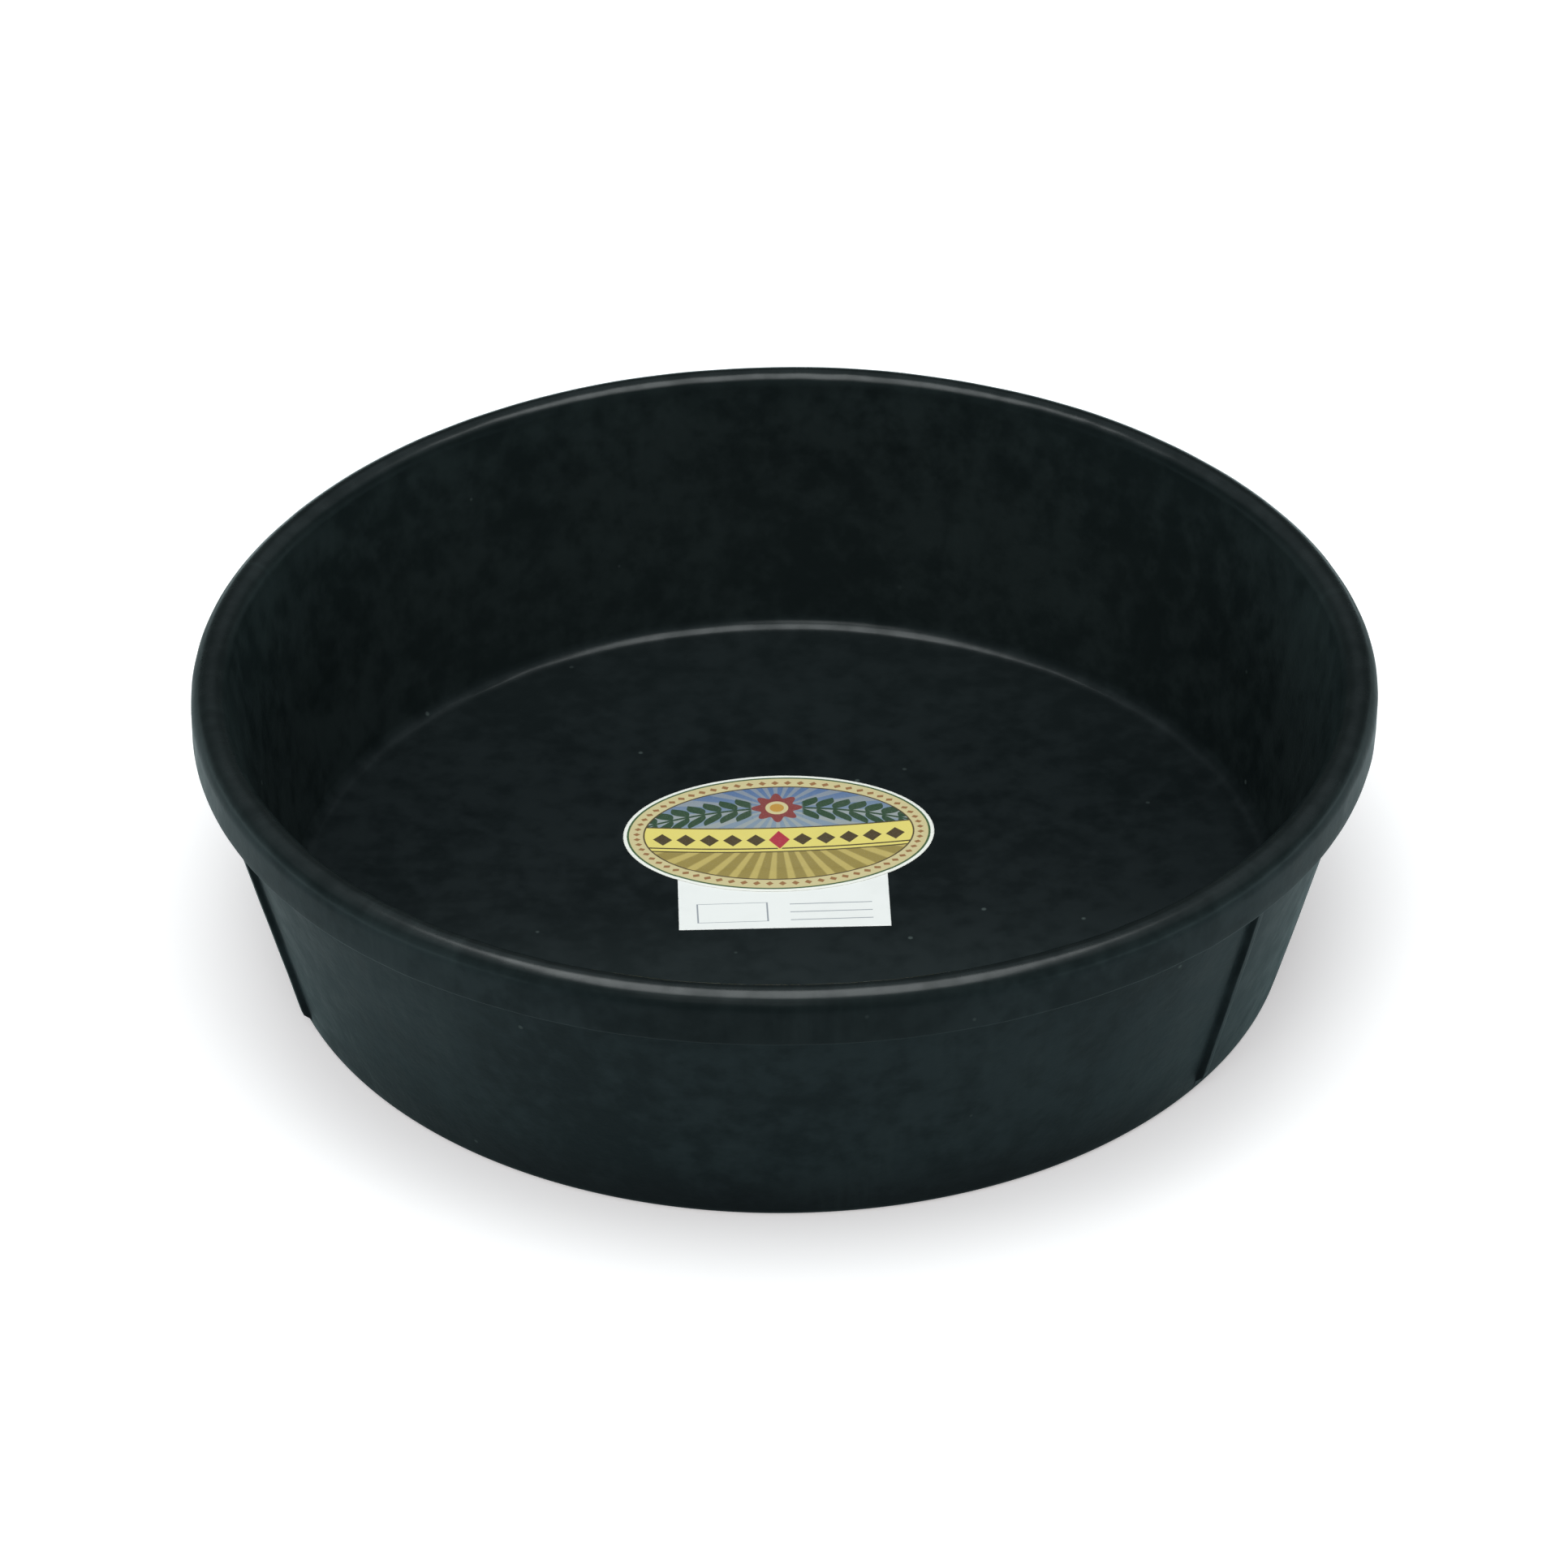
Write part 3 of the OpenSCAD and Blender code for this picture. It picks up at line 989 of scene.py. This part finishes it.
def tagMaterial():
    # Rules at an even pitch on the right, and on the left a box: a line where the larger of the distances
    # from its middle is just under its half size
    material, tree, shader, coords = newMaterial("plainTag")
    x, y = stickerFrame(tree, coords)
    up = calc(tree, "SUBTRACT", y, tagEdges()[0] / mm)
    ruled = offMiddle(tree, calc(tree, "MULTIPLY_ADD", up, 1 / tag["rulePitch"], 0.5))
    rule = within(tree, ruled, tag["ruleHalf"], tag["ruleSoft"])
    rule = times(tree, rule, between(tree, up, *tag["rulesUp"], tag["lineSoft"]))
    rule = times(tree, rule, between(tree, x, *tag["rulesAlong"], tag["lineSoft"]))
    halfWide, halfHigh = tag["boxHalfWide"], tag["boxHalfHigh"]
    boxX = calc(tree, "ABSOLUTE", calc(tree, "SUBTRACT", x, tag["boxX"]))
    boxY = calc(tree, "ABSOLUTE", calc(tree, "SUBTRACT", up, tag["boxUp"]))
    out = calc(tree, "MAXIMUM", boxX, times(tree, boxY, halfWide / halfHigh))
    box = between(tree, out, halfWide - tag["boxLine"], halfWide, tag["lineSoft"])
    colour = blendColour(tree, calc(tree, "MAXIMUM", rule, box), tag["white"], tag["grey"])
    finishPaper(tree, shader, coords, colour, tag)
    return material


# Sheets: an outline drawn in towards its middle, ring by ring, over and under, a paper's thickness apart

def stickerSheet(name, outline, middle, thickness, liftAt, material):
    # Rings of the outline scaled about its middle: the lower face outwards, then the upper face inwards
    lower, count = paper["lowerRings"], paper["upperRings"]
    shrink = np.concatenate([lower, [1.0], 1 - np.linspace(*paper["upperIn"], count)])
    upper = np.concatenate([np.zeros(len(lower)), [paper["edgeUp"]], np.ones(count)])
    local = middle + (outline - middle) * shrink[:, None, None]
    lift = liftAt(local[..., 0], local[..., 1])
    height = tub["floorHeight"] + lift + thickness * upper[:, None]
    turned = turnedBy(sign["tilt"])
    flat = local @ turned + sign["centre"]
    rings = np.concatenate([flat, height[..., None]], -1)
    pole = middle @ turned + sign["centre"]
    poleZ = tub["floorHeight"] + float(liftAt(middle[0], middle[1]))
    return closedRings(name, rings, (*pole, poleZ), (*pole, poleZ + thickness), material)


def makeStickers():
    # The large one is a circle stretched to an oval, and the tag a circle pushed out to a square,
    # stretched to its size and turned
    low, high = tagEdges()
    tagMiddle = np.array([0.0, (low + high) / 2])
    halfTag = np.array([tag["width"] / 2, (high - low) / 2])
    turn = np.linspace(0, 2 * np.pi, paper["columns"], endpoint=False)
    compass = np.stack([np.cos(turn), np.sin(turn)], -1)
    oval = compass * [sign["width"] / 2, sign["height"] / 2]
    square = compass / np.abs(compass).max(1)[:, None]
    askew = turnedBy(tag["turn"])
    tagOutline = (square * halfTag) @ askew + tagMiddle

    def overTag(x, y):
        # The large sticker rises by the tag's thickness, on a short slope, where it lies over the tag
        fromMiddle = np.stack([x, y - tagMiddle[1]], -1)
        out = np.abs(fromMiddle @ askew.T) - halfTag
        return tag["thickness"] * (1 - smoothStep(out.max(-1), 0, sign["drape"])) + paper["glue"]

    def onFloor(x, y):
        # The tag lies flat
        return np.zeros_like(x) + paper["glue"]

    tagPaper = tag["thickness"] - paper["glue"]
    tagSheet = stickerSheet("tag_sheet", tagOutline, tagMiddle, tagPaper, onFloor, tagMaterial())
    signSheet = stickerSheet("sign_sheet", oval, np.zeros(2), sign["thickness"], overTag, signMaterial())
    return signSheet, tagSheet


signPiece, tagPiece = makeStickers()
stickers = (
    (signPiece, "picture_label", "printed_paper"),
    (tagPiece, "size_tag", "white_paper"),
)
for piece, node, slotName in stickers:
    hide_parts(node)
    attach(piece, "root")
print("stickers made")


# Studio: a pale floor, a broad softbox overhead, a fill from the camera's side and a dim surround

studio = {
    # Floor, with a little light of its own that the camera and reflections see
    "floorHalf": 14.0,
    "floorColour": (0.85, 0.83, 0.83, 1),
    "floorRoughness": 0.9,
    "floorSpecular": 0.1,
    "floorGlow": 0.42,
    "glowRises": (0.5, 1.6),
    "mirroredGlow": 0.43,
    "mirroredTint": (0.62, 1.0, 1.03, 1),
    "seenTint": (1.06, 1.0, 1.0, 1),
    # Surround: its colours, the elevations in degrees between them, and two low panels at the sides
    "horizon": (0.05, 0.055, 0.055, 1),
    "overhead": (0.30, 0.365, 0.385, 1),
    "horizonTop": 26.0,
    "overheadFrom": 40.0,
    "panel": (4.1, 5.3, 5.4, 1),
    "panelTop": (7.0, 10.0),
    "panelSide": (0.58, 0.85),
    "seenSurround": (1, 1, 1, 1),
    # Lamps
    "lampColour": (0.95, 1.0, 1.0),
    "softbox": {"place": (0.0, -0.05, 1.50), "aim": (0, -0.05, 0), "size": (1.35, 1.2), "watts": 19.5},
    "fill": {"place": (-0.45, -2.2, 2.2), "aim": (0, 0, 0.05), "size": (1.4, 1.0), "watts": 18.0},
}


def makeFloor():
    # A square, whose own light rises with the distance from the tub and keeps it white far off
    half = studio["floorHalf"]
    corners = [(-half, -half, 0), (half, -half, 0), (half, half, 0), (-half, half, 0)]
    mesh = bpy.data.meshes.new("floor")
    mesh.from_pydata(corners, [], [(0, 1, 2, 3)])
    floor = bpy.data.objects.new("floor", mesh)
    scene.collection.objects.link(floor)
    material, tree, shader, coords = newMaterial("paleFloor")
    shader.inputs["Base Color"].default_value = studio["floorColour"]
    shader.inputs["Roughness"].default_value = studio["floorRoughness"]
    shader.inputs["Specular IOR Level"].default_value = studio["floorSpecular"]
    path = tree.nodes.new("ShaderNodeLightPath")
    further = ramp(tree, vectorCalc(tree, "LENGTH", coords), *studio["glowRises"])
    glowing = calc(tree, "MULTIPLY_ADD", further, 1 - studio["floorGlow"], studio["floorGlow"])
    seen = times(tree, path.outputs["Is Camera Ray"], glowing)
    mirrored = times(tree, path.outputs["Is Glossy Ray"], studio["mirroredGlow"])
    glow = blendColour(tree, path.outputs["Is Camera Ray"], studio["mirroredTint"], studio["seenTint"])
    tree.links.new(glow, shader.inputs["Emission Color"])
    tree.links.new(calc(tree, "ADD", seen, mirrored), shader.inputs["Emission Strength"])
    mesh.materials.append(material)


def makeLight(name):
    # A rectangle of light that faces its aim
    values = studio[name]
    data = bpy.data.lights.new(name, "AREA")
    data.shape = "RECTANGLE"
    data.size, data.size_y = values["size"]
    data.energy = values["watts"]
    data.color = studio["lampColour"]
    lamp = bpy.data.objects.new(name, data)
    scene.collection.objects.link(lamp)
    aim = Vector(values["aim"]) - Vector(values["place"])
    facing = aim.to_track_quat("-Z", "Y").to_matrix().to_4x4()
    lamp.matrix_world = Matrix.Translation(values["place"]) @ facing


def makeSurround():
    # The colour goes from the horizon's to the overhead one by the height of the direction looked in
    world = bpy.data.worlds.new("surround")
    world.use_nodes = True
    tree = world.node_tree
    way = tree.nodes.new("ShaderNodeTexCoord").outputs["Generated"]
    parts = tree.nodes.new("ShaderNodeSeparateXYZ")
    tree.links.new(way, parts.inputs[0])
    low, high = [math.sin(math.radians(studio[name])) for name in ("horizonTop", "overheadFrom")]
    share = ramp(tree, parts.outputs["Z"], low, high)
    colour = blendColour(tree, share, studio["horizon"], studio["overhead"])
    # Two pale panels stand at the left and the right, low down
    full, none = [math.sin(math.radians(angle)) for angle in studio["panelTop"]]
    aside = ramp(tree, calc(tree, "ABSOLUTE", parts.outputs["X"]), *studio["panelSide"])
    panel = times(tree, aside, ramp(tree, parts.outputs["Z"], none, full))
    colour = blendColour(tree, panel, colour, studio["panel"])
    # The camera itself sees white
    path = tree.nodes.new("ShaderNodeLightPath")
    colour = blendColour(tree, path.outputs["Is Camera Ray"], colour, studio["seenSurround"])
    tree.links.new(colour, tree.nodes["Background"].inputs["Color"])
    scene.world = world


makeFloor()
makeLight("softbox")
makeLight("fill")
makeSurround()
print("studio lit")
